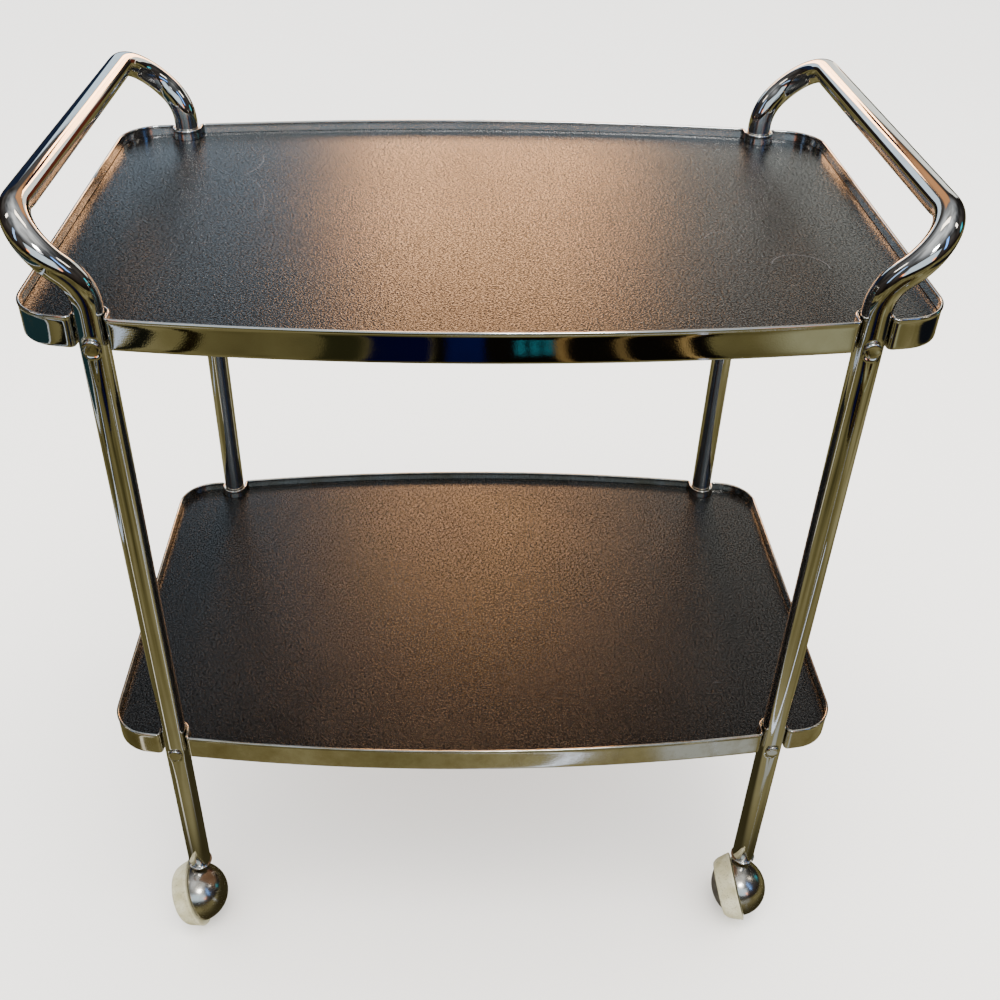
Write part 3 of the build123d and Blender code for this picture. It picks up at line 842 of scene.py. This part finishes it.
def card(name, azimuth, elevation, wide, high, colour, strength, soft=0.3, away=4.0):
    # a lit card on the room's walls: azimuth from straight behind the trolley, positive to the right
    a, e = math.radians(azimuth), math.radians(elevation)
    out = Vector((math.sin(a) * math.cos(e), math.cos(a) * math.cos(e), math.sin(e)))
    right = Vector((math.cos(a), -math.sin(a), 0))
    w, h = (away * math.tan(math.radians(v) / 2) for v in (wide, high))
    material = glow(name, colour, strength, soft)
    square(name, Vector((0, 0, 0.6)) + out * away, right, right.cross(out), w, h, material)


def patch(name, x, y, wide, deep, colour, strength=1.0, soft=0.2, level=0.001):
    # a glowing square on the carpet, for things lying on it, for the trolley's painted shadow and for a
    # painted pool of light
    place = Vector((x, y, -0.003 + level))
    material = glow(name, colour, strength, soft)
    square(name, place, Vector((1, 0, 0)), Vector((0, 1, 0)), wide / 2, deep / 2, material)


def wall(name, y, x, z, colour, strength, soft=0.15):
    # an upright piece of wall behind the trolley, x and z its from and to
    place = Vector(((x[0] + x[1]) / 2, y, (z[0] + z[1]) / 2))
    material = glow(name, colour, strength, soft)
    square(name, place, Vector((1, 0, 0)), Vector((0, 0, 1)), (x[1] - x[0]) / 2, (z[1] - z[0]) / 2, material)


def streak(name, foot, heading, spread, reach, colour, strength):
    # a narrow ray of light along the carpet from a leg's foot, heading from +X in degrees
    a, w = math.radians(heading), math.radians(spread)
    m = newMaterial(name)
    finishMaterial(m, node(m.node_tree, "Emission", {"Color": linear(colour), "Strength": strength}))
    corners = ((0.02, a - w), (reach, a - w), (reach, a + w), (0.02, a + w))
    points = [(foot[0] + r * math.cos(b), foot[1] + r * math.sin(b), -0.002) for r, b in corners]
    onlyReflected(newMesh(name, points, [(0, 1, 2, 3)], m))


def roomShell():
    # dim brown walls, darker at the floor, cooler and paler to the ceiling
    m = newMaterial("roomShell")
    t = m.node_tree
    at = node(t, "TexCoord").outputs["Object"]
    parts = node(t, "SeparateXYZ", None, Vector=at)
    up = node(t, "MapRange", {"From Min": 0.0, "From Max": 6.0}, Value=parts.outputs["Z"])
    tones = ((0.0, "#17120e"), (0.12, "#26201c"), (0.35, "#3a3533"), (0.7, "#4c4a49"), (0.86, "#8d9095"),
             (1.0, "#dcdfe2"))
    tone = node(t, "ValToRGB", {"stops": [(place, linear(code)) for place, code in tones]}, Fac=up)
    # big soft shapes, so that no wall is one even tone
    shapes = node(t, "TexNoise", {"Scale": 0.35, "Detail": 2.0}, Vector=at)
    bright = node(t, "MapRange", {"From Min": 0.38, "From Max": 0.62, "To Min": 0.35, "To Max": 1.6},
                  Value=shapes)
    finishMaterial(m, node(t, "Emission", None, Color=tone, Strength=bright))
    b = bmesh.new()
    bmesh.ops.create_uvsphere(b, u_segments=32, v_segments=16, radius=6.5)
    data = bpy.data.meshes.new("roomShell")
    b.to_mesh(data)
    b.free()
    data.materials.append(m)
    o = bpy.data.objects.new("roomShell", data)
    scene.collection.objects.link(o)
    onlyReflected(o)


def carpet():
    # olive carpet just under the studio floor, worn paler here and there
    m = newMaterial("oliveCarpet")
    t = m.node_tree
    at = node(t, "TexCoord").outputs["Object"]
    spread = node(t, "Mapping", {"Scale": (6, 6, 1)}, Vector=at)
    wear = node(t, "TexNoise", {"Scale": 1.3, "Detail": 4.0}, Vector=spread)
    tones = [(0.33, linear("#454024")), (0.5, linear("#766e45")), (0.68, linear("#a29a72"))]
    tone = node(t, "ValToRGB", {"stops": tones}, Fac=wear)
    finishMaterial(m, node(t, "Emission", {"Strength": 1.0}, Color=tone))
    square("oliveCarpet", Vector((0, 0, -0.004)), Vector((1, 0, 0)), Vector((0, 1, 0)), 6, 6, m)


def paleWorld():
    world = bpy.data.worlds.new("studio")
    scene.world = world
    world.use_nodes = True
    sky = world.node_tree.nodes["Background"]
    sky.inputs["Color"].default_value = linear("#f4f3f1")
    sky.inputs["Strength"].default_value = 3.6


def areaLight(name, place, aim, size, power, colour):
    data = bpy.data.lights.new(name, "AREA")
    data.shape = "RECTANGLE"
    data.size, data.size_y = size
    data.energy = power
    data.color = linear(colour)[:3]
    o = bpy.data.objects.new(name, data)
    o.location = place
    o.rotation_euler = (Vector(aim) - Vector(place)).to_track_quat("-Z", "Y").to_euler()
    o.visible_glossy = False
    scene.collection.objects.link(o)


studioFloor()
roomShell()
carpet()
# behind the trolley
wall("warmLamp", 1.7, (-0.25, 0.42), (1.02, 1.73), "#ffc38e", 14.0, soft=0.12)
wall("warmAbove", 1.75, (-0.35, 0.85), (1.65, 2.9), "#d79a6a", 1.3, soft=0.4)
wall("slateWall", 1.78, (-0.95, -0.25), (0.95, 1.66), "#82909c", 4.8, soft=0.12)
wall("navyWall", 1.8, (-2.2, -0.9), (0.5, 1.7), "#1b2438", 1.4, soft=0.1)
wall("greyWall", 1.8, (0.35, 1.9), (0.85, 1.68), "#a3a5a0", 4.0, soft=0.2)
wall("redBrownWall", 1.76, (0.4, 0.95), (0.5, 1.0), "#6b3324", 0.9, soft=0.2)
wall("lampShade", 1.69, (-0.05, 0.24), (1.55, 1.74), "#1d1c2c", 1.0, soft=0.1)
for barX, barWide in ((0.03, 0.03), (0.17, 0.02), (0.29, 0.025)):
    wall("lampBar", 1.68, (barX, barX + barWide), (1.0, 1.55), "#7a4632", 1.0, soft=0.1)
wall("paleStrip", 1.77, (1.0, 1.06), (0.2, 1.2), "#ffe7cf", 3.0, soft=0.3)
# in front of the trolley and to its sides
card("coolWall", 180, 22, 70, 30, "#a9bac8", 2.6, soft=0.2)
card("whiteWindow", 168, 50, 14, 9, "#ffffff", 60.0, soft=0.4)
card("whiteWindowLow", 168, 41, 14, 3, "#f2f6ff", 5.0, soft=0.2)
card("blueWindowRight", 128, 30, 7, 30, "#6fa9ff", 3.0, soft=0.2)
card("blueWindowLeft", -118, 26, 7, 30, "#9dbfee", 2.2, soft=0.2)
card("whiteLampRight", 95, 38, 6, 16, "#fff6ea", 6.0)
card("whiteLampLeft", -88, 40, 6, 16, "#fff6ea", 6.0)
card("orangeLampRight", 150, 12, 8, 8, "#ff8f45", 4.0, soft=0.5)
card("orangeLampLeft", -146, 14, 8, 8, "#ff8f45", 4.0, soft=0.5)
card("tealBand", 80, 8, 10, 12, "#2fb7c9", 2.0)
card("ceilingLamp", 10, 78, 26, 10, "#fff0dc", 7.0, soft=0.2)
# on the carpet: the trolley's own shade as a painted shadow, then what lies in front, left to right, with a
# painted pool of light among it
patch("trolleyShade", 0, 0, 0.94, 0.66, "#3f3a24", soft=0.3, level=0.0015)
patch("chairFoot", -0.755, -1.5, 0.05, 0.7, "#1a1508")
patch("greenShade", -0.34, -1.5, 0.14, 0.7, "#2c2c18", soft=0.4)
patch("navyCloth", -0.185, -1.5, 0.175, 0.7, "#08082a", soft=0.05)
patch("darkFloor", 0.285, -1.5, 0.78, 0.7, "#0d0b08", soft=0.04)
patch("blueCloth", -0.008, -1.5, 0.105, 0.7, "#0a1142", soft=0.1, level=0.0015)
for boxX in (0.143, 0.183, 0.22):
    patch("tealBox", boxX, -1.425, 0.03, 0.055, "#1f6873", level=0.0015)
patch("boardA", 0.253, -1.5, 0.03, 0.7, "#7d6439", soft=0.08, level=0.0015)
patch("boardB", 0.418, -1.5, 0.03, 0.7, "#6b5834", soft=0.08, level=0.0015)
patch("boardC", 0.597, -1.5, 0.026, 0.7, "#a08552", soft=0.08, level=0.0015)
patch("darkByLeftLeg", -1.05, -1.3, 0.1, 1.4, "#11120f")
patch("paleLeft", -0.96, -0.8, 0.05, 2.0, "#c9daf2", 1.2, level=0.0015)
patch("darkBesideIt", -0.89, -1.3, 0.06, 1.4, "#171811")
patch("paleRight", 0.98, -1.3, 0.4, 0.5, "#a3a27f", soft=0.8)
# a pool of light painted on the carpet in front, which the lower rim mirrors as a silver patch
patch("lightPoolFront", 0.34, -0.42, 0.2, 0.14, "#b4b8b2", soft=0.5)
patch("tealLeft", -1.5, -0.6, 0.5, 3.0, "#20373a")
patch("whiteLineLeft", -1.28, -0.6, 0.06, 3.0, "#cfd6da", 1.2)
patch("darkLeft", -2.1, 0.0, 0.6, 4.0, "#11151c")
patch("darkRight", 1.9, 0.0, 0.8, 4.0, "#15181d", soft=0.3)
# rays of light on the carpet, which the legs mirror as bright lines
for side, heading, wide, bright in ((-1, 331, 1.0, 1.8), (1, 287, 0.5, 1.0)):
    streak("lineFront", (side * legX * mm, -legY * mm), heading, wide, 1.1, "#dfeaff", bright)
for side, heading in ((-1, 20), (1, 215)):
    streak("lineBack", (side * legX * mm, legY * mm), heading, 1.3, 1.6, "#e6e2d2", 1.5)
paleWorld()
areaLight("overhead", (0.3, -0.2, 3.0), (0, 0, 0.4), (2.4, 1.6), 90, "#fff4e6")
print("studio made;", scene.view_settings.view_transform, scene.view_settings.look)
